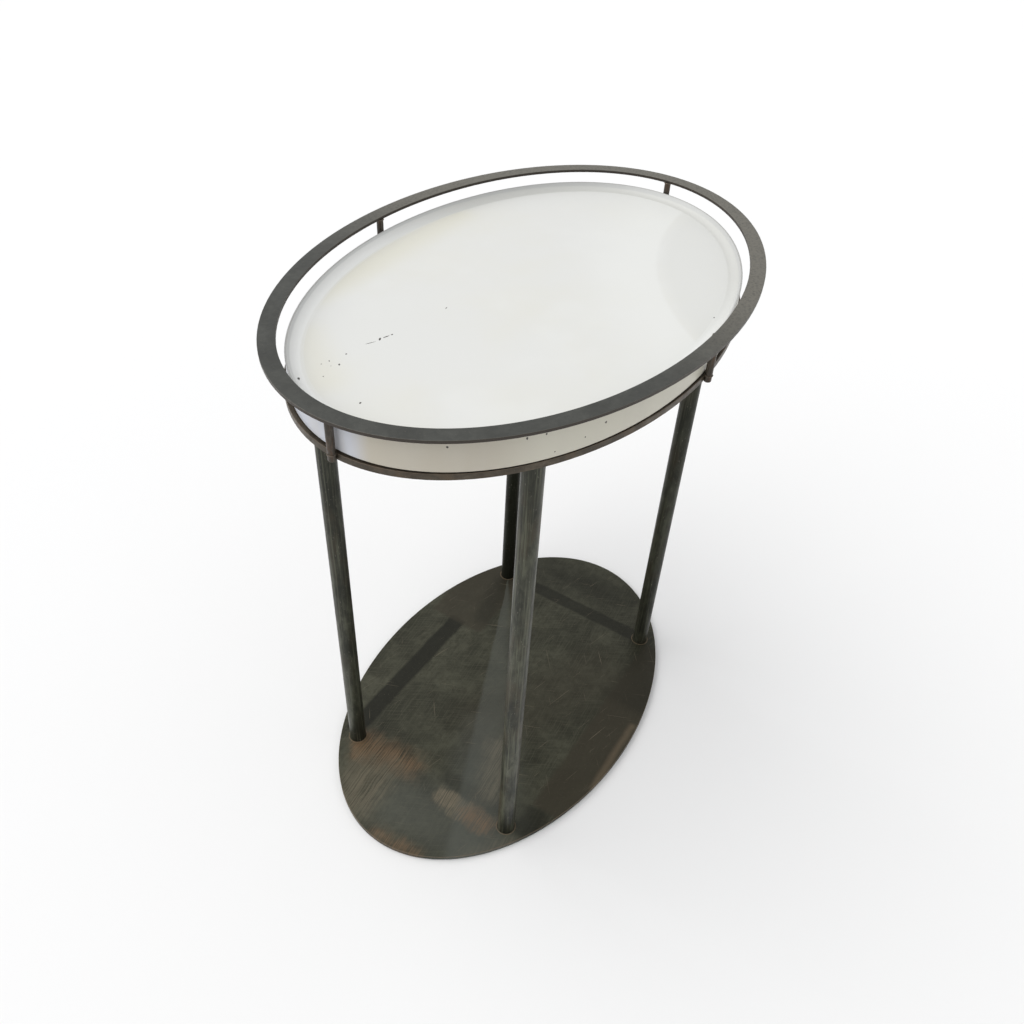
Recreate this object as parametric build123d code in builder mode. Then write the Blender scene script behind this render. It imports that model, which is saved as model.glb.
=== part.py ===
from build123d import *
from math import cos, hypot, radians, sin
import os

# Oval side table with a lift-out tray: a steel base plate, four tubular legs, a steel shelf
# plate of the same oval, a flat gallery ring on four posts, and a white sheet-steel tray that
# drops in through the ring.
# X is along the oval's long axis, Y along the short one, Z up. The origin is on the floor,
# under the middle of the table. All sizes are in millimetres.

# ---- heights ----
overall_height = 635.0
gallery_height = 44.0
floor_pad_thickness = 1.5

# ---- base and shelf plates, cut to one outline ----
plate_length = 569.0
plate_width = 373.0
base_thickness = 5.0
shelf_thickness = 6.0
plate_edge_round = 0.6

# ---- legs ----
leg_diameter = 20.5
leg_wall = 2.0
leg_inset = 22.7
leg_angle = 46.8
leg_seat_depth = 1.0
leg_seat_clearance = 0.6
leg_plug_length = 22.0
leg_plug_clearance = 0.05

# ---- countersunk screws that hold the legs ----
screw_diameter = 6.0
screw_head_diameter = 12.0
screw_length = 20.0
screw_clearance = 0.3
thread_clearance = 0.05
screw_head_gap = 0.2
screw_socket_size = 4.0
screw_socket_depth = 1.8

# ---- pads under the base ----
floor_pad_diameter = 30.0

# ---- gallery ----
ring_width = 15.5
ring_thickness = 3.0
ring_overhang = 1.0
ring_edge_round = 0.3
post_diameter = 7.0
post_turn = -1.0
post_end_round = 0.8
post_seat_depth = 0.6
post_seat_clearance = 0.05

# ---- tray ----
tray_clearance = 2.0
tray_turn = 1.4
tray_height = 28.0
tray_sheet = 1.5
tray_rim_width = 14.5
tray_recess_depth = 6.5
tray_flange_width = 12.0
tray_edge_round = 0.5
tray_edge_thickness = 1.95
tray_bend_share = 0.3
tray_drop_share = 0.72
tray_under_bend_share = 0.2
tray_under_drop_share = 0.75
tray_foot_diameter = 9.0
tray_foot_height = 2.0

# ---- places worked out from the sizes above ----
base_bottom = floor_pad_thickness
base_top = base_bottom + base_thickness
shelf_top = overall_height - gallery_height
shelf_bottom = shelf_top - shelf_thickness
ring_bottom = overall_height - ring_thickness
leg_bottom = base_top - leg_seat_depth
leg_top = shelf_bottom + leg_seat_depth
leg_bore = leg_diameter - 2 * leg_wall
leg_seat_radius = leg_diameter / 2 + leg_seat_clearance
plate_a = plate_length / 2
plate_b = plate_width / 2
ring_inner_a = plate_a + ring_overhang
ring_inner_b = plate_b + ring_overhang
post_radius = post_diameter / 2
post_offset = post_radius - post_seat_depth
tray_a = plate_a - tray_clearance
tray_b = plate_b - tray_clearance
tray_bottom = shelf_top + tray_foot_height
tray_floor = tray_height - tray_recess_depth
head_depth = (screw_head_diameter - screw_diameter) / 2

# Each leg's centre is leg_inset inside the plates' edge, square to it, at leg_angle round the oval.
edge_slope = hypot(plate_b * cos(radians(leg_angle)), plate_a * sin(radians(leg_angle)))
leg_x = (plate_a - leg_inset * plate_b / edge_slope) * cos(radians(leg_angle))
leg_y = (plate_b - leg_inset * plate_a / edge_slope) * sin(radians(leg_angle))
leg_places = [(x, y) for x in (-leg_x, leg_x) for y in (-leg_y, leg_y)]

# The posts stand at the ends of the oval's two axes, all a little round from them.
post_x = plate_a + post_offset
post_y = plate_b + post_offset
turn_cos = cos(radians(post_turn))
turn_sin = sin(radians(post_turn))
post_places = [
    (-post_x * turn_cos, -post_x * turn_sin),
    (post_x * turn_cos, post_x * turn_sin),
    (post_y * turn_sin, -post_y * turn_cos),
    (-post_y * turn_sin, post_y * turn_cos),
]

# The tray lies loose in the gallery, turned a little from the table's own axes.
tray_plane = Plane.XY.offset(tray_bottom).rotated((0, 0, tray_turn))

os.makedirs("parts", exist_ok=True)


def save(piece, label):
    """Labels a finished piece and writes it as its own STEP file."""
    piece.label = label
    export_step(piece, f"parts/{label}.step")


# ---- base plate: oval, with a shallow seat for each leg and a countersunk hole under it ----
with BuildPart() as base_plate:
    with BuildSketch(Plane.XY.offset(base_bottom)):
        Ellipse(plate_a, plate_b)
    extrude(amount=base_thickness)
    fillet(base_plate.edges().group_by(Axis.Z)[-1], plate_edge_round)
    with BuildSketch(Plane.XY.offset(base_top)):
        with Locations(*leg_places):
            Circle(leg_seat_radius)
    extrude(amount=-leg_seat_depth, mode=Mode.SUBTRACT)
    with Locations(Plane.XY.offset(base_bottom).rotated((180, 0, 0))):
        with Locations(*leg_places):
            CounterSinkHole(
                radius=screw_diameter / 2 + screw_clearance,
                counter_sink_radius=screw_head_diameter / 2 + screw_head_gap,
                depth=base_thickness,
                counter_sink_angle=90,
            )
save(base_plate.part, "base_plate")

# ---- shelf plate: the same oval, seats below, countersinks above, a notch for each post ----
with BuildPart() as shelf_plate:
    with BuildSketch(Plane.XY.offset(shelf_bottom)):
        Ellipse(plate_a, plate_b)
    extrude(amount=shelf_thickness)
    fillet(shelf_plate.edges().group_by(Axis.Z)[-1], plate_edge_round)
    with BuildSketch(Plane.XY.offset(shelf_bottom)):
        with Locations(*leg_places):
            Circle(leg_seat_radius)
    extrude(amount=leg_seat_depth, mode=Mode.SUBTRACT)
    with Locations(Plane.XY.offset(shelf_top)):
        with Locations(*leg_places):
            CounterSinkHole(
                radius=screw_diameter / 2 + screw_clearance,
                counter_sink_radius=screw_head_diameter / 2 + screw_head_gap,
                depth=shelf_thickness,
                counter_sink_angle=90,
            )
    for place in post_places:
        with BuildSketch(Plane.XY.offset(shelf_bottom)):
            with Locations(place):
                Circle(post_radius + post_seat_clearance)
        extrude(amount=shelf_thickness, mode=Mode.SUBTRACT)
save(shelf_plate.part, "shelf_plate")


# ---- legs: tubes seated in both plates ----
def make_leg(place):
    """A tube from the seat in the base plate to the seat in the shelf plate."""
    with BuildPart() as leg:
        with BuildSketch(Plane.XY.offset(leg_bottom)):
            with Locations(place):
                Circle(leg_diameter / 2)
                Circle(leg_bore / 2, mode=Mode.SUBTRACT)
        extrude(amount=leg_top - leg_bottom)
    return leg.part


# ---- threaded plugs pressed into the tube ends; the thread is left plain ----
def make_plug(place, height):
    """A tapped round plug whose lower face is at the given height."""
    with BuildPart() as plug:
        with BuildSketch(Plane.XY.offset(height)):
            with Locations(place):
                Circle(leg_bore / 2 - leg_plug_clearance)
                Circle(screw_diameter / 2 + thread_clearance, mode=Mode.SUBTRACT)
        extrude(amount=leg_plug_length)
    return plug.part


# ---- countersunk socket screws ----
def make_screw(plane):
    """A screw whose head is flush with the given plane and which points against its normal."""
    with BuildPart() as screw:
        with BuildSketch(plane):
            Circle(screw_head_diameter / 2)
        with BuildSketch(plane.offset(-head_depth)):
            Circle(screw_diameter / 2)
        loft()
        with BuildSketch(plane.offset(-head_depth)):
            Circle(screw_diameter / 2)
        extrude(amount=head_depth - screw_length)
        with BuildSketch(plane):
            RegularPolygon(screw_socket_size / 2, 6, major_radius=False)
        extrude(amount=-screw_socket_depth, mode=Mode.SUBTRACT)
    return screw.part


# ---- felt discs under the base plate, over the screw heads ----
def make_floor_pad(place):
    """A disc glued under the base plate."""
    with BuildPart() as pad:
        with BuildSketch(Plane.XY):
            with Locations(place):
                Circle(floor_pad_diameter / 2)
        extrude(amount=floor_pad_thickness)
    return pad.part


for number, (x, y) in enumerate(leg_places, 1):
    save(make_leg((x, y)), f"leg_{number}")
    save(make_plug((x, y), leg_bottom), f"lower_plug_{number}")
    save(make_plug((x, y), leg_top - leg_plug_length), f"upper_plug_{number}")
    save(make_screw(Plane((x, y, base_bottom), z_dir=(0, 0, -1))), f"base_screw_{number}")
    save(make_screw(Plane((x, y, shelf_top))), f"shelf_screw_{number}")
    save(make_floor_pad((x, y)), f"floor_pad_{number}")


# ---- gallery posts: round rod, seated in the shelf's edge and butted under the ring ----
def make_post(place):
    """A rod from the underside of the shelf plate to the underside of the ring."""
    with BuildPart() as post:
        with BuildSketch(Plane.XY.offset(shelf_bottom)):
            with Locations(place):
                Circle(post_radius)
        extrude(amount=ring_bottom - shelf_bottom)
        fillet(post.edges().group_by(Axis.Z)[0], post_end_round)
    return post.part


for number, place in enumerate(post_places, 1):
    save(make_post(place), f"gallery_post_{number}")

# ---- gallery ring: flat oval band on top of the posts ----
with BuildPart() as gallery_ring:
    with BuildSketch(Plane.XY.offset(ring_bottom)):
        Ellipse(ring_inner_a + ring_width, ring_inner_b + ring_width)
        Ellipse(ring_inner_a, ring_inner_b, mode=Mode.SUBTRACT)
    extrude(amount=ring_thickness)
    fillet(gallery_ring.edges().group_by(Axis.Z)[-1], ring_edge_round)
save(gallery_ring.part, "gallery_ring")

# ---- tray: one pressed sheet, a dished floor inside a straight skirt with a turned-in lip ----
# Each pair is the inset from the outer wall and the height above the tray's lower edge.
dish_top = [
    (tray_sheet, tray_height),
    (
        tray_sheet + tray_bend_share * tray_rim_width,
        tray_height - tray_drop_share * tray_recess_depth,
    ),
    (tray_rim_width, tray_floor),
]
dish_under = [
    (tray_sheet, tray_height - tray_edge_thickness),
    (
        tray_sheet + tray_under_bend_share * tray_rim_width,
        tray_height - tray_under_drop_share * tray_recess_depth - tray_sheet,
    ),
    (tray_rim_width, tray_floor - tray_sheet),
]

# The space under the sheet, which the skirt, the floor and the lip enclose.
with BuildPart() as tray_hollow:
    with BuildSketch(tray_plane.offset(tray_sheet)):
        Ellipse(tray_a - tray_sheet, tray_b - tray_sheet)
    extrude(amount=tray_height - tray_edge_thickness - tray_sheet)
    for inset, height in dish_under:
        with BuildSketch(tray_plane.offset(height)):
            Ellipse(tray_a - inset, tray_b - inset)
    loft(mode=Mode.SUBTRACT)

with BuildPart() as tray:
    with BuildSketch(tray_plane):
        Ellipse(tray_a, tray_b)
    extrude(amount=tray_height)
    fillet(tray.edges().group_by(Axis.Z)[-1], tray_edge_round)
    for inset, height in dish_top:
        with BuildSketch(tray_plane.offset(height)):
            Ellipse(tray_a - inset, tray_b - inset)
    loft(mode=Mode.SUBTRACT)
    add(tray_hollow.part, mode=Mode.SUBTRACT)
    with BuildSketch(tray_plane):
        Ellipse(tray_a - tray_flange_width, tray_b - tray_flange_width)
    extrude(amount=tray_sheet, mode=Mode.SUBTRACT)
save(tray.part, "tray")


# ---- rubber feet under the tray's lip ----
def make_tray_foot(place):
    """A small disc between the tray's lip and the shelf plate."""
    with BuildPart() as foot:
        with BuildSketch(tray_plane):
            with Locations(place):
                Circle(tray_foot_diameter / 2)
        extrude(amount=-tray_foot_height)
    return foot.part


foot_inset = tray_flange_width / 2 + tray_sheet / 2
tray_foot_places = [
    (tray_a - foot_inset, 0),
    (0, tray_b - foot_inset),
    (foot_inset - tray_a, 0),
    (0, foot_inset - tray_b),
]
for number, place in enumerate(tray_foot_places, 1):
    save(make_tray_foot(place), f"tray_foot_{number}")
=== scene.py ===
from math import cos, pi, radians, sin

import bmesh
import bpy
from mathutils import Matrix, Vector


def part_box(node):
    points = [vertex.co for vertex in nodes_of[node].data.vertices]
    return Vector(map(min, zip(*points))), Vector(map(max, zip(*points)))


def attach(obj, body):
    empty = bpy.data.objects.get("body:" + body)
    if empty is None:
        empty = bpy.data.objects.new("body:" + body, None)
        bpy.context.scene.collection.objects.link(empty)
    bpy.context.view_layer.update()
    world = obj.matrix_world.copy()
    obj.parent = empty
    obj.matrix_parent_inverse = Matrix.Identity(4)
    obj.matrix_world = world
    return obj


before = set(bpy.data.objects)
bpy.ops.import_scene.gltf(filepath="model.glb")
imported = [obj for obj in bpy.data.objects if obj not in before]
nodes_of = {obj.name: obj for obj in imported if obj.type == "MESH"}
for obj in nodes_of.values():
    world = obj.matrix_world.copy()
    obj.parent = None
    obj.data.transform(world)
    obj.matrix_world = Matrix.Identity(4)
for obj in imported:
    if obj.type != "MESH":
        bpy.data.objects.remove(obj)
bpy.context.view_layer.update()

scene = bpy.context.scene

# ---- camera ----
# Stands in front of the table's left end, above the tray, and looks down across the oval.
camera_place = Vector((-0.6919, -0.3981, 1.0262))
camera_heading = radians(-59.56)
camera_tilt = radians(41.19)
camera_roll = radians(3.40)

camera_data = bpy.data.cameras.new("camera")
camera_data.lens = 31.8
camera_data.sensor_width = 36.0
camera_data.clip_start = 0.01
camera_data.clip_end = 60.0
camera_data.dof.use_dof = False
camera = bpy.data.objects.new("camera", camera_data)
camera_turn = (
    Matrix.Rotation(camera_heading, 4, "Z")
    @ Matrix.Rotation(pi / 2 - camera_tilt, 4, "X")
    @ Matrix.Rotation(camera_roll, 4, "Z")
)
camera.matrix_world = Matrix.Translation(camera_place) @ camera_turn
scene.collection.objects.link(camera)
scene.camera = camera


# ---- base plate ----
# Oval of 5 mm hot-rolled steel, blackened and waxed. Two straight dark bands run between
# the legs, brushing has left fine strokes and a brown bloom, and a pale wedge is a painted reflection.
def node_tree(name):
    """An empty node material and its tree."""
    material = bpy.data.materials.new(name)
    material.use_nodes = True
    material.node_tree.nodes.clear()
    return material, material.node_tree


def is_wire(value):
    """Whether the value is a node and the name of its output, rather than a number or vector."""
    return isinstance(value, tuple) and isinstance(value[0], bpy.types.Node)


def feed(tree, socket, value):
    """Links the socket to the output that the value names, or sets it to the value."""
    if is_wire(value):
        tree.links.new(value[0].outputs[value[1]], socket)
    else:
        socket.default_value = value


def add(tree, kind, **values):
    """A node with its inputs fed by name, an underscore standing for a space."""
    node = tree.nodes.new(kind)
    for name, value in values.items():
        feed(tree, node.inputs[name.replace("_", " ")], value)
    return node


def math_node(tree, operation, *operands):
    """The output of a Math node."""
    node = tree.nodes.new("ShaderNodeMath")
    node.operation = operation
    for socket, value in zip(node.inputs, operands):
        feed(tree, socket, value)
    return node, "Value"


def vector_math(tree, operation, *operands):
    """The output of a Vector Math node: a number for a length or a distance, else a vector."""
    node = tree.nodes.new("ShaderNodeVectorMath")
    node.operation = operation
    for socket, value in zip(node.inputs, operands):
        feed(tree, socket, value)
    return node, "Value" if operation in ("LENGTH", "DISTANCE") else "Vector"


def blend_colour(tree, amount, below, above):
    """Lays one colour over another by the amount."""
    node = tree.nodes.new("ShaderNodeMix")
    node.data_type = "RGBA"
    feed(tree, node.inputs[0], amount)
    for socket, value in ((node.inputs[6], below), (node.inputs[7], above)):
        feed(tree, socket, value if is_wire(value) else (*value, 1.0))
    return node, 2


def lay(tree, colour, tone, mask, strength):
    """Lays a tone over the colour where the mask is, at a strength."""
    return blend_colour(tree, math_node(tree, "MULTIPLY", mask, strength), colour, tone)


def noise(tree, vector, scale, detail=4.0, roughness=0.55):
    """Fractal noise on a vector."""
    node = add(tree, "ShaderNodeTexNoise", Vector=vector, Scale=scale, Detail=detail, Roughness=roughness)
    return node, "Fac"


def turned_flat(tree, vector, angle):
    """The vector turned about Z."""
    node = add(tree, "ShaderNodeVectorRotate", Vector=vector, Angle=angle)
    node.rotation_type = "Z_AXIS"
    return node, "Vector"


def stretched(tree, vector, scale, turn=0.0):
    """The vector scaled unevenly, after a turn about Z, for marks with a direction."""
    turned = add(tree, "ShaderNodeMapping", Vector=vector, Rotation=(0.0, 0.0, turn))
    scaled = add(tree, "ShaderNodeMapping", Vector=(turned, "Vector"), Scale=scale)
    return scaled, "Vector"


def ramp(tree, value, low, high, smooth=True):
    """Runs from 0 at low to 1 at high."""
    node = tree.nodes.new("ShaderNodeMapRange")
    node.interpolation_type = "SMOOTHSTEP" if smooth else "LINEAR"
    feed(tree, node.inputs["Value"], value)
    feed(tree, node.inputs["From Min"], low)
    feed(tree, node.inputs["From Max"], high)
    return node, "Result"


def new_group(name, inputs, outputs):
    """A shader node group; inputs and outputs are lists of name, type and, for inputs, value."""
    group = bpy.data.node_groups.new(name, "ShaderNodeTree")
    for label, kind, value in inputs:
        socket = group.interface.new_socket(label, in_out="INPUT", socket_type=kind)
        if value is not None:
            socket.default_value = value
    for label, kind in outputs:
        group.interface.new_socket(label, in_out="OUTPUT", socket_type=kind)
    return group, group.nodes.new("NodeGroupInput"), group.nodes.new("NodeGroupOutput")


def place_group(tree, group, **values):
    """A node that holds the group, with its inputs set by name."""
    node = tree.nodes.new("ShaderNodeGroup")
    node.node_tree = group
    for name, value in values.items():
        feed(tree, node.inputs[name.replace("_", " ")], value)
    return node


def finish_surface(tree, colour, rough, bump, metal=0.0, shine=0.5):
    """Joins the colour, roughness and bump of a material to its output."""
    shader = add(
        tree,
        "ShaderNodeBsdfPrincipled",
        Base_Color=colour,
        Roughness=rough,
        Normal=(bump, "Normal"),
        Metallic=metal,
        Specular_IOR_Level=shine,
    )
    add(tree, "ShaderNodeOutputMaterial", Surface=(shader, "BSDF"))


FLOAT = "NodeSocketFloat"
VECTOR = "NodeSocketVector"

# Cloudy bloom of blackened steel: broad clouds, and fine pits and specks.
bloom_group, group_in, group_out = new_group(
    "steel_bloom",
    [("Vector", VECTOR, None), ("Size", FLOAT, 30.0), ("Seed", FLOAT, 0.0)],
    [("Clouds", FLOAT), ("Specks", FLOAT), ("Grain", FLOAT)],
)
moved = vector_math(bloom_group, "ADD", (group_in, "Vector"), (group_in, "Seed"))
cloud_noise = noise(bloom_group, moved, (group_in, "Size"), 5.0, 0.62)
cloud_noise[0].inputs["Distortion"].default_value = 0.6
speck_noise = noise(bloom_group, moved, 900.0, 2.0, 0.5)
feed(bloom_group, group_out.inputs["Clouds"], ramp(bloom_group, cloud_noise, 0.32, 0.68))
feed(bloom_group, group_out.inputs["Specks"], ramp(bloom_group, speck_noise, 0.66, 0.78))
feed(bloom_group, group_out.inputs["Grain"], noise(bloom_group, moved, 420.0, 3.0, 0.6))

# A soft-edged patch on the plan of a piece, for a dark band, a stain, a chip or a patch of painted
# reflection.
patch_group, group_in, group_out = new_group(
    "plan_patch",
    [
        ("Vector", VECTOR, None),
        ("Middle", VECTOR, None),
        ("Turn", FLOAT, 0.0),
        ("Half Length", FLOAT, 0.05),
        ("Half Width", FLOAT, 0.01),
        ("Softness", FLOAT, 0.004),
    ],
    [("Mask", FLOAT)],
)
from_middle = vector_math(patch_group, "SUBTRACT", (group_in, "Vector"), (group_in, "Middle"))
turned = turned_flat(patch_group, from_middle, (group_in, "Turn"))
parts = add(patch_group, "ShaderNodeSeparateXYZ", Vector=turned)
sides = []
for axis, half in (("X", "Half Length"), ("Y", "Half Width")):
    distance = math_node(patch_group, "ABSOLUTE", (parts, axis))
    inside = math_node(patch_group, "SUBTRACT", (group_in, half), distance)
    share = math_node(patch_group, "DIVIDE", inside, (group_in, "Softness"))
    sides.append(ramp(patch_group, share, -1.0, 1.0))
feed(patch_group, group_out.inputs["Mask"], math_node(patch_group, "MULTIPLY", *sides))

# Where a rounded edge has been rubbed: the faces that are neither level nor upright. On the ring the mask
# also carries a painted highlight.
rub_group, group_in, group_out = new_group("edge_rub", [("Width", FLOAT, 0.55)], [("Mask", FLOAT)])
surface = rub_group.nodes.new("ShaderNodeNewGeometry")
slopes = add(rub_group, "ShaderNodeSeparateXYZ", Vector=(surface, "Normal"))
upright = math_node(rub_group, "ABSOLUTE", (slopes, "Z"))
off_middle = math_node(rub_group, "SUBTRACT", upright, 0.6)
off_middle = math_node(rub_group, "ABSOLUTE", off_middle)
rubbed = math_node(rub_group, "DIVIDE", off_middle, (group_in, "Width"))
feed(rub_group, group_out.inputs["Mask"], ramp(rub_group, rubbed, 0.65, 0.35))

# Thin scratches, scattered and running one way.
scratch_group, group_in, group_out = new_group(
    "scratches",
    [("Vector", VECTOR, None), ("Turn", FLOAT, 0.0), ("Rarity", FLOAT, 0.70)],
    [("Mask", FLOAT)],
)
turned = turned_flat(scratch_group, (group_in, "Vector"), (group_in, "Turn"))
lengthened = add(scratch_group, "ShaderNodeMapping", Vector=turned, Scale=(16.0, 900.0, 900.0))
lines = noise(scratch_group, (lengthened, "Vector"), 1.0, 2.0, 0.5)
over = math_node(scratch_group, "SUBTRACT", lines, (group_in, "Rarity"))
feed(scratch_group, group_out.inputs["Mask"], ramp(scratch_group, over, 0.0, 0.05))

# A thin ring on the plan, for the painted highlight on the lip round a seat.
ring_group, group_in, group_out = new_group(
    "plan_ring",
    [("Vector", VECTOR, None), ("Middle", VECTOR, None), ("Radius", FLOAT, 0.011), ("Width", FLOAT, 0.001)],
    [("Mask", FLOAT)],
)
from_middle = vector_math(ring_group, "SUBTRACT", (group_in, "Vector"), (group_in, "Middle"))
flat = vector_math(ring_group, "MULTIPLY", from_middle, (1.0, 1.0, 0.0))
away = vector_math(ring_group, "LENGTH", flat)
off_ring = math_node(ring_group, "SUBTRACT", away, (group_in, "Radius"))
off_ring = math_node(ring_group, "ABSOLUTE", off_ring)
off_ring = math_node(ring_group, "DIVIDE", off_ring, (group_in, "Width"))
feed(ring_group, group_out.inputs["Mask"], ramp(ring_group, off_ring, 1.2, 0.4))


def middle_of(node_name):
    """The middle of a node of the table on the plan, x and y."""
    low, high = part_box(node_name)
    return (low.x + high.x) / 2, (low.y + high.y) / 2


plate_dark = (0.020, 0.020, 0.012)
plate_light = (0.064, 0.064, 0.043)
mark_brown = (0.035, 0.030, 0.019)
mark_black = (0.009, 0.009, 0.005)
blue_bloom_and_reflection = (0.092, 0.098, 0.086)
bloom_rust = (0.190, 0.115, 0.062)
bloom_straw = (0.165, 0.140, 0.098)
edge_bronze = (0.185, 0.138, 0.088)
# Each band or bloom: colour, strength, middle x and y, half length, half width, turn, softness.
plate_marks = [
    # The pale blue marks are partly painted reflection: the first lies along the pale wedge.
    (blue_bloom_and_reflection, 0.30, (-0.120, -0.025), 0.060, 0.0240, 0.35, 0.018),
    (blue_bloom_and_reflection, 0.42, (-0.225, -0.040), 0.040, 0.0800, 0.10, 0.030),
    (mark_black, 0.45, (0.235, 0.030), 0.034, 0.1000, 0.10, 0.030),
    (mark_black, 0.88, (-0.060, 0.1265), 0.122, 0.0120, 0.0, 0.0025),
    (mark_black, 0.75, (0.184, 0.000), 0.118, 0.0105, pi / 2, 0.0025),
    (mark_black, 0.35, (-0.168, -0.060), 0.050, 0.0100, pi / 2, 0.006),
    (mark_brown, 0.75, (0.122, 0.128), 0.066, 0.043, 0.0, 0.004),
    (mark_black, 0.45, (0.122, 0.105), 0.050, 0.014, 0.2, 0.010),
    (mark_brown, 0.80, (0.020, -0.158), 0.160, 0.030, 0.0, 0.004),
    (mark_black, 0.60, (-0.163, -0.140), 0.022, 0.014, 0.0, 0.006),
    (mark_black, 0.45, (0.130, -0.150), 0.070, 0.034, 0.0, 0.012),
    (mark_brown, 0.40, (0.010, -0.055), 0.125, 0.045, -0.5, 0.030),
    (bloom_rust, 0.60, (-0.184, 0.066), 0.048, 0.0150, pi / 2 + 0.10, 0.016),
    (bloom_rust, 0.60, (-0.196, 0.100), 0.020, 0.0110, 0.3, 0.010),
    (bloom_straw, 0.95, (-0.194, -0.044), 0.024, 0.0130, pi / 2 - 0.05, 0.007),
    (bloom_rust, 0.95, (-0.196, -0.084), 0.022, 0.0130, pi / 2 - 0.05, 0.008),
    (bloom_rust, 0.50, (-0.278, -0.020), 0.034, 0.0090, pi / 2 + 0.1, 0.010),
    (bloom_straw, 0.55, (-0.234, 0.064), 0.042, 0.0300, 0.1, 0.018),
    (bloom_straw, 0.70, (-0.126, -0.060), 0.046, 0.0150, 0.45, 0.014),
    (bloom_straw, 0.40, (-0.225, -0.120), 0.036, 0.0110, -0.6, 0.012),
    (edge_bronze, 0.35, (-0.020, -0.180), 0.060, 0.0040, 0.02, 0.004),
]
leg_places = [middle_of(f"leg_{number}") for number in range(1, 5)]
seat_lip_radius = 0.0116
seat_lip_width = 0.0008
# How far noise spreads the edges of the marks and of the bloom. Its mean shifts each mark by half of that.
mark_spread = 0.006
bloom_spread = 0.026

base_material, tree = node_tree("base_steel_waxed")
place = tree.nodes.new("ShaderNodeTexCoord")
object_vector = (place, "Object")
bloom = place_group(tree, bloom_group, Vector=object_vector, Size=15.0, Seed=3.0)
mottle = place_group(tree, bloom_group, Vector=object_vector, Size=95.0, Seed=7.0)
wander = add(tree, "ShaderNodeTexNoise", Vector=object_vector, Scale=30.0, Detail=4.0)
plate_vector = vector_math(
    tree, "MULTIPLY_ADD", (wander, "Color"), (mark_spread, mark_spread, 0.0), object_vector
)
strokes_along = noise(tree, stretched(tree, plate_vector, (16.0, 700.0, 1.0), radians(-6)), 1.0, 5.0, 0.65)
strokes_over = noise(tree, stretched(tree, plate_vector, (22.0, 520.0, 1.0), radians(58)), 1.0, 5.0, 0.65)
colour = blend_colour(tree, (bloom, "Clouds"), plate_dark, plate_light)
colour = lay(tree, colour, plate_dark, (mottle, "Clouds"), 0.60)
for strokes, strength in ((strokes_along, 0.55), (strokes_over, 0.42)):
    stroke_mask = ramp(tree, strokes, 0.46, 0.66)
    colour = lay(tree, colour, plate_light, stroke_mask, strength)
ragged = add(tree, "ShaderNodeTexNoise", Vector=object_vector, Scale=75.0, Detail=5.0)
ragged_vector = vector_math(
    tree, "MULTIPLY_ADD", (ragged, "Color"), (bloom_spread, bloom_spread, 0.0), object_vector
)
broken = ramp(tree, strokes_along, 0.30, 0.62)
for tone, strength, middle, half_length, half_width, turn, softness in plate_marks:
    bloomed = tone in (bloom_rust, bloom_straw)
    drift = bloom_spread / 2 if bloomed else mark_spread / 2
    mark = place_group(
        tree,
        patch_group,
        Vector=ragged_vector if bloomed else plate_vector,
        Middle=(middle[0] + drift, middle[1] + drift, 0.0),
        Turn=-turn,
        Half_Length=half_length,
        Half_Width=half_width,
        Softness=softness,
    )
    amount = math_node(tree, "MULTIPLY", (mark, "Mask"), strength)
    if bloomed:
        amount = math_node(tree, "MULTIPLY", amount, broken)
    colour = blend_colour(tree, amount, colour, tone)
# A paler wedge from one leg's foot, crisp along one side, is a painted reflection.
to_reflecting_foot = vector_math(tree, "SUBTRACT", (*leg_places[3], 0.0), plate_vector)
reflecting_foot_parts = add(tree, "ShaderNodeSeparateXYZ", Vector=to_reflecting_foot)
wedge_reflection_angle = math_node(tree, "ARCTAN2", (reflecting_foot_parts, "Y"), (reflecting_foot_parts, "X"))
wedge_reflection_near = ramp(tree, wedge_reflection_angle, 0.400, 0.430)
wedge_reflection_far = ramp(tree, wedge_reflection_angle, 0.680, 0.500)
painted_reflection_wedge = math_node(tree, "MULTIPLY", wedge_reflection_near, wedge_reflection_far)
colour = lay(tree, colour, blue_bloom_and_reflection, painted_reflection_wedge, 0.42)
# A painted highlight on the lip round each leg's seat.
for leg_place in leg_places:
    lip_highlight = place_group(
        tree,
        ring_group,
        Vector=object_vector,
        Middle=(*leg_place, 0.0),
        Radius=seat_lip_radius,
        Width=seat_lip_width,
    )
    colour = lay(tree, colour, edge_bronze, (lip_highlight, "Mask"), 0.55)
for turn, rarity in ((0.25, 0.70), (1.15, 0.71), (-0.70, 0.72)):
    scratches = place_group(tree, scratch_group, Vector=object_vector, Turn=turn, Rarity=rarity)
    colour = lay(tree, colour, bloom_straw, (scratches, "Mask"), 0.6)
colour = lay(tree, colour, bloom_straw, (bloom, "Specks"), 0.55)
rub = place_group(tree, rub_group)
colour = lay(tree, colour, edge_bronze, (rub, "Mask"), 0.85)
rough = math_node(tree, "MULTIPLY_ADD", (mottle, "Clouds"), 0.12, 0.40)
height = math_node(tree, "MULTIPLY_ADD", (bloom, "Grain"), 0.6, strokes_along)
bump = add(tree, "ShaderNodeBump", Strength=0.18, Distance=0.0004, Height=height)
finish_surface(tree, colour, rough, bump, metal=0.10, shine=0.22)


def dress(node_name, material):
    """Gives a node of the table its material."""
    mesh = nodes_of[node_name].data
    mesh.materials.clear()
    mesh.materials.append(material)


dress("base_plate", base_material)


# ---- legs ----
# Four lengths of 20 mm drawn steel tube, blackened, with faint lengthwise draw marks and a
# few bright nicks. Each stands in a shallow seat in the base plate.
steel_speck = (0.220, 0.200, 0.165)


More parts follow.
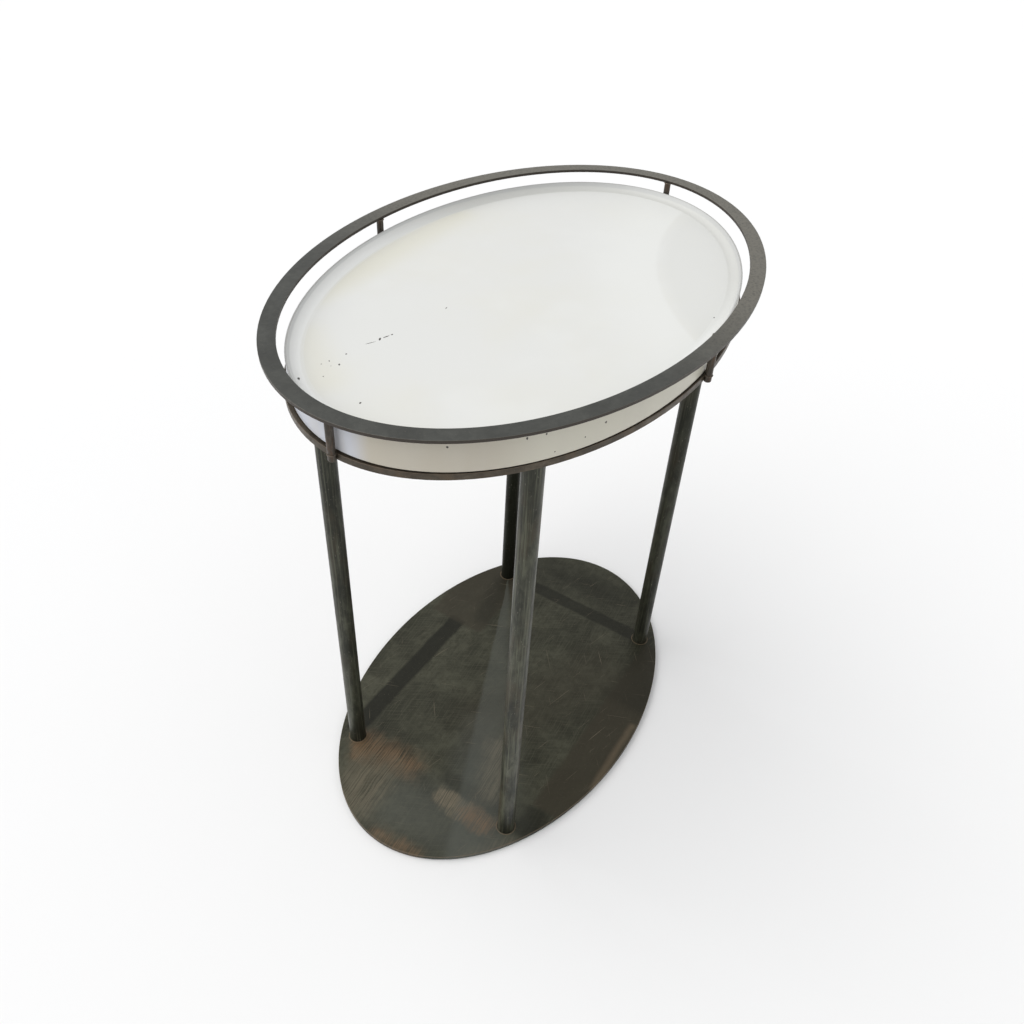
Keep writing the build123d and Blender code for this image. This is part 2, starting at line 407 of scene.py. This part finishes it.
def steel_material(name, dark, light, brown, edge, cloud, roughness, metal, shine, seed, drawn=0.0):
    """Blackened steel with clouds, brown bloom, specks, rubbed edges and, on tube, draw marks."""
    material, tree = node_tree(name)
    place = tree.nodes.new("ShaderNodeTexCoord")
    along = 0.3 if drawn else 1.0
    squeezed = add(tree, "ShaderNodeMapping", Vector=(place, "Object"), Scale=(1.0, 1.0, along))
    vector = (squeezed, "Vector")
    bloom = place_group(tree, bloom_group, Vector=vector, Size=cloud, Seed=seed)
    mottle = place_group(tree, bloom_group, Vector=vector, Size=cloud * 5.0, Seed=seed + 2.0)
    colour = blend_colour(tree, (bloom, "Clouds"), dark, light)
    colour = lay(tree, colour, dark, (mottle, "Clouds"), 0.7)
    brown_noise = noise(tree, vector, cloud * 1.7, 4.0, 0.65)
    brown_mask = ramp(tree, brown_noise, 0.48, 0.66)
    colour = lay(tree, colour, brown, brown_mask, 0.75)
    height = (bloom, "Grain")
    if drawn:
        streaks = noise(tree, stretched(tree, (place, "Object"), (420.0, 420.0, 9.0)), 1.0, 5.0, 0.6)
        streak_mask = ramp(tree, streaks, 0.48, 0.64)
        colour = lay(tree, colour, light, streak_mask, drawn)
        height = math_node(tree, "ADD", height, streaks)
    colour = lay(tree, colour, steel_speck, (bloom, "Specks"), 0.6)
    rub = place_group(tree, rub_group)
    colour = lay(tree, colour, edge, (rub, "Mask"), 0.8)
    rough = math_node(tree, "MULTIPLY_ADD", (mottle, "Clouds"), 0.14, roughness - 0.07)
    bump = add(tree, "ShaderNodeBump", Strength=0.15, Distance=0.0003, Height=height)
    finish_surface(tree, colour, rough, bump, metal, shine)
    return material


# Each leg carries its own painted shade: the deeper it stands in the table's shade, the darker the tone of
# its light parts and the lower its shine, leg_4 almost black. Columns: node, tone of its light parts, shine,
# seed.
for leg_name, tone, shine, seed in (
    ("leg_1", 1.10, 0.27, 21.0),
    ("leg_2", 0.84, 0.24, 19.4),
    ("leg_3", 0.62, 0.17, 17.2),
    ("leg_4", 0.20, 0.06, 13.0),
):
    leg_material = steel_material(
        f"{leg_name}_steel",
        dark=(0.015, 0.016, 0.011),
        light=(0.098 * tone, 0.101 * tone, 0.070 * tone),
        brown=(0.046 * tone, 0.039 * tone, 0.024 * tone),
        edge=(0.110, 0.098, 0.078),
        cloud=30.0,
        roughness=0.38,
        metal=0.2,
        shine=shine,
        seed=seed,
        drawn=0.70,
    )
    dress(leg_name, leg_material)

# ---- leg plugs and screws ----
# Turned steel plugs, tapped and pressed into the tube ends, and black countersunk socket
# screws through each plate into them.
plug_material = steel_material(
    "plug_steel_turned",
    dark=(0.26, 0.25, 0.24),
    light=(0.36, 0.35, 0.33),
    brown=(0.24, 0.20, 0.16),
    edge=(0.45, 0.44, 0.42),
    cloud=90.0,
    roughness=0.36,
    metal=1.0,
    shine=0.5,
    seed=21.0,
)
screw_material = steel_material(
    "screw_black_oxide",
    dark=(0.030, 0.030, 0.032),
    light=(0.060, 0.060, 0.062),
    brown=(0.060, 0.048, 0.040),
    edge=(0.190, 0.185, 0.175),
    cloud=160.0,
    roughness=0.38,
    metal=0.8,
    shine=0.5,
    seed=31.0,
)
for number in range(1, 5):
    dress(f"lower_plug_{number}", plug_material)
    dress(f"upper_plug_{number}", plug_material)
    dress(f"base_screw_{number}", screw_material)
    dress(f"shelf_screw_{number}", screw_material)

# ---- shelf plate ----
# The same oval in 6 mm plate, blackened like the base but handled more, so that its edge has
# gone a warm brown.
shelf_material = steel_material(
    "shelf_steel",
    dark=(0.050, 0.040, 0.028),
    light=(0.114, 0.094, 0.068),
    brown=(0.094, 0.068, 0.043),
    edge=(0.170, 0.130, 0.095),
    cloud=26.0,
    roughness=0.42,
    metal=0.25,
    shine=0.3,
    seed=41.0,
)
dress("shelf_plate", shelf_material)

# ---- gallery posts ----
# Four short lengths of 7 mm rod, welded into notches in the shelf's edge and under the ring,
# browned by the heat.
post_material = steel_material(
    "post_steel",
    dark=(0.034, 0.028, 0.021),
    light=(0.105, 0.090, 0.072),
    brown=(0.085, 0.048, 0.028),
    edge=(0.150, 0.120, 0.090),
    cloud=90.0,
    roughness=0.40,
    metal=0.3,
    shine=0.35,
    seed=51.0,
    drawn=0.45,
)
for number in range(1, 5):
    dress(f"gallery_post_{number}", post_material)

# ---- weld beads on the posts ----
# A small lumpy bead of weld runs round each post where it meets the shelf and the ring. The
# tree bends a thin round bead into a ring, sets one at each joint, and knocks it out of true.
bead_off_joint = 0.0004
bead_levels = (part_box("shelf_plate")[1].z + bead_off_joint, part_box("gallery_ring")[0].z - bead_off_joint)
bead_radius = 0.0035
bead_thickness = 0.0007
bead_lump = 0.0005
bead_seed = 4

joint_mesh = bpy.data.meshes.new("weld_joints")
post_places = [middle_of(f"gallery_post_{number}") for number in range(1, 5)]
joint_mesh.from_pydata([(*place, level) for place in post_places for level in bead_levels], [], [])
joints = bpy.data.objects.new("weld_joints", joint_mesh)
scene.collection.objects.link(joints)

bead_tree = bpy.data.node_groups.new("weld_bead", "GeometryNodeTree")
socket = bead_tree.interface.new_socket
socket("Geometry", in_out="INPUT", socket_type="NodeSocketGeometry")
radius_socket = socket("Radius", in_out="INPUT", socket_type=FLOAT)
thick_socket = socket("Thickness", in_out="INPUT", socket_type=FLOAT)
lump_socket = socket("Lump", in_out="INPUT", socket_type=FLOAT)
seed_socket = socket("Seed", in_out="INPUT", socket_type="NodeSocketInt")
metal_socket = socket("Material", in_out="INPUT", socket_type="NodeSocketMaterial")
socket("Geometry", in_out="OUTPUT", socket_type="NodeSocketGeometry")
tree_in = bead_tree.nodes.new("NodeGroupInput")
tree_out = bead_tree.nodes.new("NodeGroupOutput")
loop = add(bead_tree, "GeometryNodeCurvePrimitiveCircle", Resolution=96, Radius=(tree_in, "Radius"))
section = add(bead_tree, "GeometryNodeCurvePrimitiveCircle", Resolution=16, Radius=(tree_in, "Thickness"))
bead = add(bead_tree, "GeometryNodeCurveToMesh", Curve=(loop, "Curve"), Profile_Curve=(section, "Curve"))
set_beads = add(
    bead_tree, "GeometryNodeInstanceOnPoints", Points=(tree_in, "Geometry"), Instance=(bead, "Mesh")
)
whole = add(bead_tree, "GeometryNodeRealizeInstances", Geometry=(set_beads, "Instances"))
where = bead_tree.nodes.new("GeometryNodeInputPosition")
ripple = add(bead_tree, "ShaderNodeTexNoise", Vector=(where, "Position"), Scale=700.0)
ripple.noise_dimensions = "4D"
feed(bead_tree, ripple.inputs["W"], (tree_in, "Seed"))
centred = vector_math(bead_tree, "SUBTRACT", (ripple, "Color"), (0.5, 0.5, 0.5))
shift = vector_math(bead_tree, "MULTIPLY", centred, (tree_in, "Lump"))
lumpy = add(bead_tree, "GeometryNodeSetPosition", Geometry=(whole, "Geometry"), Offset=shift)
smooth = add(bead_tree, "GeometryNodeSetShadeSmooth", Geometry=(lumpy, "Geometry"))
whole_again = add(bead_tree, "GeometryNodeRealizeInstances", Geometry=(smooth, "Geometry"))
coat = add(
    bead_tree,
    "GeometryNodeSetMaterial",
    Geometry=(whole_again, "Geometry"),
    Material=(tree_in, "Material"),
)
feed(bead_tree, tree_out.inputs["Geometry"], (coat, "Geometry"))

grower = joints.modifiers.new("weld_bead", "NODES")
grower.node_group = bead_tree
grower[radius_socket.identifier] = bead_radius
grower[thick_socket.identifier] = bead_thickness
grower[lump_socket.identifier] = bead_lump
grower[seed_socket.identifier] = bead_seed
grower[metal_socket.identifier] = post_material
grown = joints.evaluated_get(bpy.context.evaluated_depsgraph_get())
bead_mesh = bpy.data.meshes.new_from_object(grown)
bead_mesh.name = "weld_beads"
beads = bpy.data.objects.new("weld_beads", bead_mesh)
scene.collection.objects.link(beads)
bpy.data.objects.remove(joints)
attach(beads, "table")

# ---- gallery ring ----
# Flat oval band, laser-cut from 3 mm sheet and blackened to a slate grey, with a painted reflection
# that makes one end paler and warmer. The cut edge stays brown; its arris is painted a little bright, as rub
# and painted highlight.
ring_slate = (0.050, 0.051, 0.046)
ring_pale_slate = (0.074, 0.076, 0.068)
ring_black = (0.038, 0.040, 0.037)
ring_far_reflection = (0.172, 0.162, 0.136)
ring_cut_edge = (0.044, 0.036, 0.029)
ring_arris_rub_and_highlight = (0.150, 0.140, 0.120)
ring_speck = (0.180, 0.160, 0.130)

ring_material, tree = node_tree("ring_steel")
place = tree.nodes.new("ShaderNodeTexCoord")
vector = (place, "Object")
bloom = place_group(tree, bloom_group, Vector=vector, Size=20.0, Seed=61.0)
mottle = place_group(tree, bloom_group, Vector=vector, Size=140.0, Seed=63.0)
colour = blend_colour(tree, (bloom, "Clouds"), ring_slate, ring_pale_slate)
colour = lay(tree, colour, ring_black, (mottle, "Clouds"), 0.35)
spots = add(tree, "ShaderNodeSeparateXYZ", Vector=vector)
# Painted reflection: paler and warmer towards the far end, broken by noise.
far_end_reflection = ramp(tree, (spots, "X"), -0.13, 0.10)
reflection_broken = ramp(tree, (mottle, "Grain"), 0.10, 0.60)
far_reflection_amount = math_node(tree, "MULTIPLY", far_end_reflection, reflection_broken)
colour = lay(tree, colour, ring_far_reflection, far_reflection_amount, 0.85)
surface = tree.nodes.new("ShaderNodeNewGeometry")
facing = add(tree, "ShaderNodeSeparateXYZ", Vector=(surface, "Normal"))
level = math_node(tree, "ABSOLUTE", (facing, "Z"))
cut_edge = ramp(tree, level, 0.45, 0.15)
colour = blend_colour(tree, cut_edge, colour, ring_cut_edge)
# The rounded arris is painted bright: partly rub, partly painted highlight.
rub = place_group(tree, rub_group)
colour = lay(tree, colour, ring_arris_rub_and_highlight, (rub, "Mask"), 0.9)
colour = lay(tree, colour, ring_speck, (bloom, "Specks"), 0.4)
rough = math_node(tree, "MULTIPLY_ADD", (mottle, "Clouds"), 0.10, 0.36)
bump = add(tree, "ShaderNodeBump", Strength=0.12, Distance=0.0003, Height=(mottle, "Grain"))
finish_surface(tree, colour, rough, bump, metal=0.2, shine=0.3)
dress("gallery_ring", ring_material)

# ---- felt discs and rubber feet ----
# Pressed wool felt under the base plate, and small moulded rubber feet under the tray's lip.


def soft_material(name, dark, light, scale, roughness, bump_strength):
    """Felt or rubber: two close tones of fine noise, matt, with a fibrous or moulded surface."""
    material, tree = node_tree(name)
    place = tree.nodes.new("ShaderNodeTexCoord")
    fibres = noise(tree, (place, "Object"), scale, 4.0, 0.7)
    colour = blend_colour(tree, fibres, dark, light)
    bump = add(tree, "ShaderNodeBump", Strength=bump_strength, Distance=0.0004, Height=fibres)
    rough = ramp(tree, fibres, 0.0, 1.0, smooth=False)
    rough = math_node(tree, "MULTIPLY_ADD", rough, 0.1, roughness - 0.05)
    finish_surface(tree, colour, rough, bump)
    return material


felt_material = soft_material(
    "pad_felt",
    dark=(0.030, 0.027, 0.024),
    light=(0.075, 0.068, 0.060),
    scale=1400.0,
    roughness=0.95,
    bump_strength=0.6,
)
rubber_material = soft_material(
    "foot_rubber",
    dark=(0.012, 0.012, 0.012),
    light=(0.024, 0.024, 0.024),
    scale=700.0,
    roughness=0.7,
    bump_strength=0.2,
)
for number in range(1, 5):
    dress(f"floor_pad_{number}", felt_material)
    dress(f"tray_foot_{number}", rubber_material)

# ---- tray ----
# Pressed from one steel sheet and sprayed white: a dished floor, a rolled rim, a straight
# skirt and a turned-in lip. The paint is chipped to the dark steel in places.
paint_white = (0.672, 0.676, 0.656)
paint_warm = (0.660, 0.648, 0.560)
paint_pale = (0.715, 0.722, 0.700)
paint_slope_light = (0.755, 0.762, 0.745)
paint_slope_shade = (0.585, 0.588, 0.562)
paint_shaded = (0.640, 0.645, 0.622)
skirt_shade_warm = (0.522, 0.482, 0.400)
skirt_painted_light = (0.620, 0.598, 0.505)
skirt_cool_reflection = (0.560, 0.580, 0.640)
skirt_sheen_streak = (0.565, 0.538, 0.468)
chip_steel = (0.050, 0.044, 0.038)
rim_shade_line = (0.400, 0.398, 0.380)
rim_shade_grey = (0.480, 0.488, 0.490)
tray_turn = radians(1.4)
floor_oval = (0.2680, 0.1700)
rim_oval = (0.2825, 0.1845)
recess_depth = 0.0065
tray_top_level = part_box("tray")[1].z
tray_floor_level = tray_top_level - recess_depth

# Small chips through the paint: ragged spots, longer than they are wide.
chip_group, group_in, group_out = new_group(
    "paint_chip",
    [
        ("Vector", VECTOR, None),
        ("Middle", VECTOR, None),
        ("Turn", FLOAT, 0.0),
        ("Half Length", FLOAT, 0.001),
        ("Half Width", FLOAT, 0.001),
        ("Ragged", FLOAT, 0.5),
    ],
    [("Mask", FLOAT)],
)
from_middle = vector_math(chip_group, "SUBTRACT", (group_in, "Vector"), (group_in, "Middle"))
turned = turned_flat(chip_group, from_middle, (group_in, "Turn"))
half_length = (group_in, "Half Length")
reach = add(chip_group, "ShaderNodeCombineXYZ", X=half_length, Y=(group_in, "Half Width"), Z=half_length)
away = vector_math(chip_group, "LENGTH", vector_math(chip_group, "DIVIDE", turned, (reach, "Vector")))
torn = noise(chip_group, (group_in, "Vector"), 1300.0, 3.0)
torn = math_node(chip_group, "SUBTRACT", torn, 0.5)
torn = math_node(chip_group, "MULTIPLY", torn, (group_in, "Ragged"))
edge = math_node(chip_group, "ADD", away, torn)
feed(chip_group, group_out.inputs["Mask"], ramp(chip_group, edge, 1.15, 0.85))

# Each chip: middle x and y, height above the tray's floor, half length, half width, turn.
chips = [
    ((-0.1708, 0.0604), 0.0000, 0.0044, 0.0004, -0.45),
    ((-0.1610, 0.0578), 0.0000, 0.0022, 0.0009, 0.50),
    ((-0.1545, 0.0560), 0.0000, 0.0034, 0.0006, -0.28),
    ((-0.1484, 0.0543), 0.0000, 0.0012, 0.0007, 0.00),
    ((-0.1970, 0.0651), 0.0000, 0.0010, 0.0007, 0.40),
    ((-0.2139, 0.0692), 0.0000, 0.0010, 0.0005, 0.90),
    ((-0.2131, 0.0589), 0.0000, 0.0014, 0.0008, 0.60),
    ((-0.2214, 0.0713), 0.0000, 0.0006, 0.0005, 0.00),
    ((-0.2347, 0.0573), 0.0000, 0.0007, 0.0005, 0.30),
    ((-0.2190, 0.0630), 0.0000, 0.0005, 0.0003, 0.00),
    ((-0.2462, 0.0087), 0.0000, 0.0012, 0.0008, 0.20),
    ((-0.0810, 0.0442), 0.0000, 0.0018, 0.0004, 0.20),
    ((0.0558, -0.1649), 0.0000, 0.0012, 0.0006, 0.00),
    ((-0.2500, 0.0700), 0.0005, 0.0020, 0.0010, 0.80),
    ((-0.2545, 0.0750), 0.0015, 0.0016, 0.0007, 0.90),
    ((-0.2553, -0.0825), 0.0025, 0.0010, 0.0008, 0.00),
    ((-0.2115, -0.1253), 0.0030, 0.0013, 0.0008, 0.60),
    ((-0.1979, -0.1344), 0.0030, 0.0009, 0.0007, 0.00),
    ((-0.1656, -0.1518), -0.0115, 0.0007, 0.0006, 0.00),
    ((-0.1471, -0.1596), -0.0045, 0.0011, 0.0008, 0.30),
    ((-0.1904, -0.1390), -0.0165, 0.0006, 0.0005, 0.00),
]

paint_material, tree = node_tree("tray_white_paint")
place = tree.nodes.new("ShaderNodeTexCoord")
vector = (place, "Object")
spots = add(tree, "ShaderNodeSeparateXYZ", Vector=vector)
shade = noise(tree, vector, 6.0, 4.0)
shade_mask = ramp(tree, shade, 0.42, 0.72)
colour = lay(tree, paint_white, paint_warm, shade_mask, 0.35)
cleaned = noise(tree, vector, 9.0, 3.0)
cleaned_mask = ramp(tree, cleaned, 0.50, 0.70)
colour = lay(tree, colour, paint_pale, cleaned_mask, 0.35)
# Yellowed areas along the rim: strength, middle, half length, half width, turn, softness.
for strength, middle, half_length, half_width, turn, softness in (
    (0.75, (-0.020, 0.156), 0.130, 0.018, 0.0, 0.016),
    (0.50, (-0.215, 0.085), 0.055, 0.016, 0.95, 0.016),
):
    area = place_group(
        tree,
        patch_group,
        Vector=vector,
        Middle=(*middle, 0.0),
        Turn=-turn,
        Half_Length=half_length,
        Half_Width=half_width,
        Softness=softness,
    )
    colour = lay(tree, colour, paint_warm, (area, "Mask"), strength)
# A paler sweep with a curved edge is a painted reflection, and the duller patch inside it is painted shade.
reflection_arc_middle = (0.269, -0.373, tray_floor_level)
from_reflection_arc = vector_math(tree, "DISTANCE", vector, reflection_arc_middle)
sweep_reflection_near = ramp(tree, from_reflection_arc, 0.331, 0.337)
sweep_reflection_far = ramp(tree, from_reflection_arc, 0.440, 0.345)
painted_reflection_sweep = math_node(tree, "MULTIPLY", sweep_reflection_near, sweep_reflection_far)
colour = lay(tree, colour, paint_pale, painted_reflection_sweep, 0.75)
painted_shade_patch = ramp(tree, from_reflection_arc, 0.336, 0.318)
colour = lay(tree, colour, paint_shaded, painted_shade_patch, 0.75)
squared = add(tree, "ShaderNodeMapping", Vector=vector, Rotation=(0.0, 0.0, -tray_turn))
rounded = add(
    tree, "ShaderNodeMapping", Vector=(squared, "Vector"), Scale=(1 / floor_oval[0], 1 / floor_oval[1], 0.0)
)
oval = vector_math(tree, "LENGTH", (rounded, "Vector"))
off_bend = math_node(tree, "SUBTRACT", oval, 1.0)
off_bend = math_node(tree, "ABSOLUTE", off_bend)
bend_line = ramp(tree, off_bend, 0.009, 0.002)
slope = ramp(tree, oval, 1.000, 1.012)
# The slope is painted lighter at the -X end and given painted shade towards the +X end, evening out the
# lamp's light on it.
slope_end = ramp(tree, (spots, "X"), -0.060, 0.160)
slope_light_and_shade = blend_colour(tree, slope_end, paint_slope_light, paint_slope_shade)
colour = blend_colour(tree, slope, colour, slope_light_and_shade)
bend_amount = math_node(tree, "MULTIPLY", bend_line, 0.55)
bend_amount = math_node(tree, "MULTIPLY", bend_amount, ramp(tree, slope_end, 1.0, 0.2))
colour = blend_colour(tree, bend_amount, colour, paint_pale)
widened = add(
    tree, "ShaderNodeMapping", Vector=(squared, "Vector"), Scale=(1 / rim_oval[0], 1 / rim_oval[1], 0.0)
)
rim_round = vector_math(tree, "LENGTH", (widened, "Vector"))
# Painted shade: a grey band high on the rim's slope and a grey line along the rim's top edge.
rim_shade_band = ramp(tree, rim_round, 0.980, 0.986)
colour = lay(tree, colour, rim_shade_grey, rim_shade_band, 0.50)
top_shade_line = ramp(tree, (spots, "Z"), tray_top_level - 0.0007, tray_top_level - 0.0002)
colour = lay(tree, colour, rim_shade_line, top_shade_line, 0.55)
surface = tree.nodes.new("ShaderNodeNewGeometry")
facing = add(tree, "ShaderNodeSeparateXYZ", Vector=(surface, "Normal"))
level = math_node(tree, "ABSOLUTE", (facing, "Z"))
# The skirt carries painted shade, darker and warmer than the top, with painted light towards the -Y end, a
# cool painted reflection towards the +Y side and pale streaks of painted sheen.
skirt = ramp(tree, level, 0.50, 0.25)
painted_light_end = ramp(tree, (spots, "Y"), -0.100, -0.140)
skirt_light_and_shade = blend_colour(tree, painted_light_end, skirt_shade_warm, skirt_painted_light)
cool_reflection_end = ramp(tree, (spots, "Y"), -0.030, -0.008)
skirt_light_and_shade = blend_colour(tree, cool_reflection_end, skirt_light_and_shade, skirt_cool_reflection)
streaks = noise(tree, stretched(tree, vector, (40.0, 40.0, 6.0)), 1.0, 3.0)
streak_mask = ramp(tree, streaks, 0.40, 0.70)
skirt_light_and_shade = lay(tree, skirt_light_and_shade, skirt_sheen_streak, streak_mask, 0.30)
colour = blend_colour(tree, skirt, colour, skirt_light_and_shade)
for middle, rise, half_length, half_width, turn in chips:
    chip = place_group(
        tree,
        chip_group,
        Vector=vector,
        Middle=(*middle, tray_floor_level + rise),
        Turn=-turn,
        Half_Length=half_length,
        Half_Width=half_width,
        Ragged=1.6,
    )
    colour = blend_colour(tree, (chip, "Mask"), colour, chip_steel)
peel = noise(tree, vector, 260.0, 2.0)
bump = add(tree, "ShaderNodeBump", Strength=0.05, Distance=0.0003, Height=peel)
rough = math_node(tree, "MULTIPLY_ADD", peel, 0.12, 0.30)
finish_surface(tree, colour, rough, bump, shine=0.4)
dress("tray", paint_material)

# ---- floor ----
# A plain white sweep for the table to stand on.
floor_radius = 12.0
floor_tone = (0.83, 0.83, 0.83, 1.0)
floor_mesh = bpy.data.meshes.new("floor")
shape = bmesh.new()
bmesh.ops.create_circle(shape, cap_ends=True, segments=96, radius=floor_radius)
shape.to_mesh(floor_mesh)
shape.free()
floor_object = bpy.data.objects.new("floor", floor_mesh)
scene.collection.objects.link(floor_object)
floor_material, tree = node_tree("floor_white")
shader = add(tree, "ShaderNodeBsdfDiffuse", Color=floor_tone)
add(tree, "ShaderNodeOutputMaterial", Surface=(shader, "BSDF"))
floor_mesh.materials.append(floor_material)

# ---- light ----
# A pale room, brighter overhead than round the walls, and one large soft lamp on the left.
wall_strength = 0.34
ceiling_strength = 0.88
room_tone = (0.985, 0.990, 1.000, 1.0)

world = bpy.data.worlds.new("studio")
world.use_nodes = True
sky = world.node_tree
sky_place = sky.nodes.new("ShaderNodeTexCoord")
sky_parts = add(sky, "ShaderNodeSeparateXYZ", Vector=(sky_place, "Generated"))
sky_rise = add(
    sky,
    "ShaderNodeMapRange",
    Value=(sky_parts, "Z"),
    From_Min=0.0,
    From_Max=0.9,
    To_Min=wall_strength,
    To_Max=ceiling_strength,
)
background = sky.nodes["Background"]
feed(sky, background.inputs["Color"], room_tone)
feed(sky, background.inputs["Strength"], (sky_rise, "Result"))
scene.world = world
scene.view_settings.view_transform = "Standard"


def soft_lamp(name, compass, height_angle, spread, strength, tone):
    """A distant lamp of the given spread; compass is where it stands, from the table's X axis."""
    light = bpy.data.lights.new(name, "SUN")
    light.angle = radians(spread)
    light.energy = strength
    light.color = tone
    lamp = bpy.data.objects.new(name, light)
    across = Vector((cos(radians(compass)), sin(radians(compass)), 0.0))
    toward = across * cos(radians(height_angle)) + Vector((0.0, 0.0, sin(radians(height_angle))))
    lamp.rotation_euler = toward.to_track_quat("Z", "Y").to_euler()
    scene.collection.objects.link(lamp)


soft_lamp(
    "key_lamp", compass=128.0, height_angle=52.0, spread=75.0, strength=1.95, tone=(1.0, 0.995, 0.985)
)
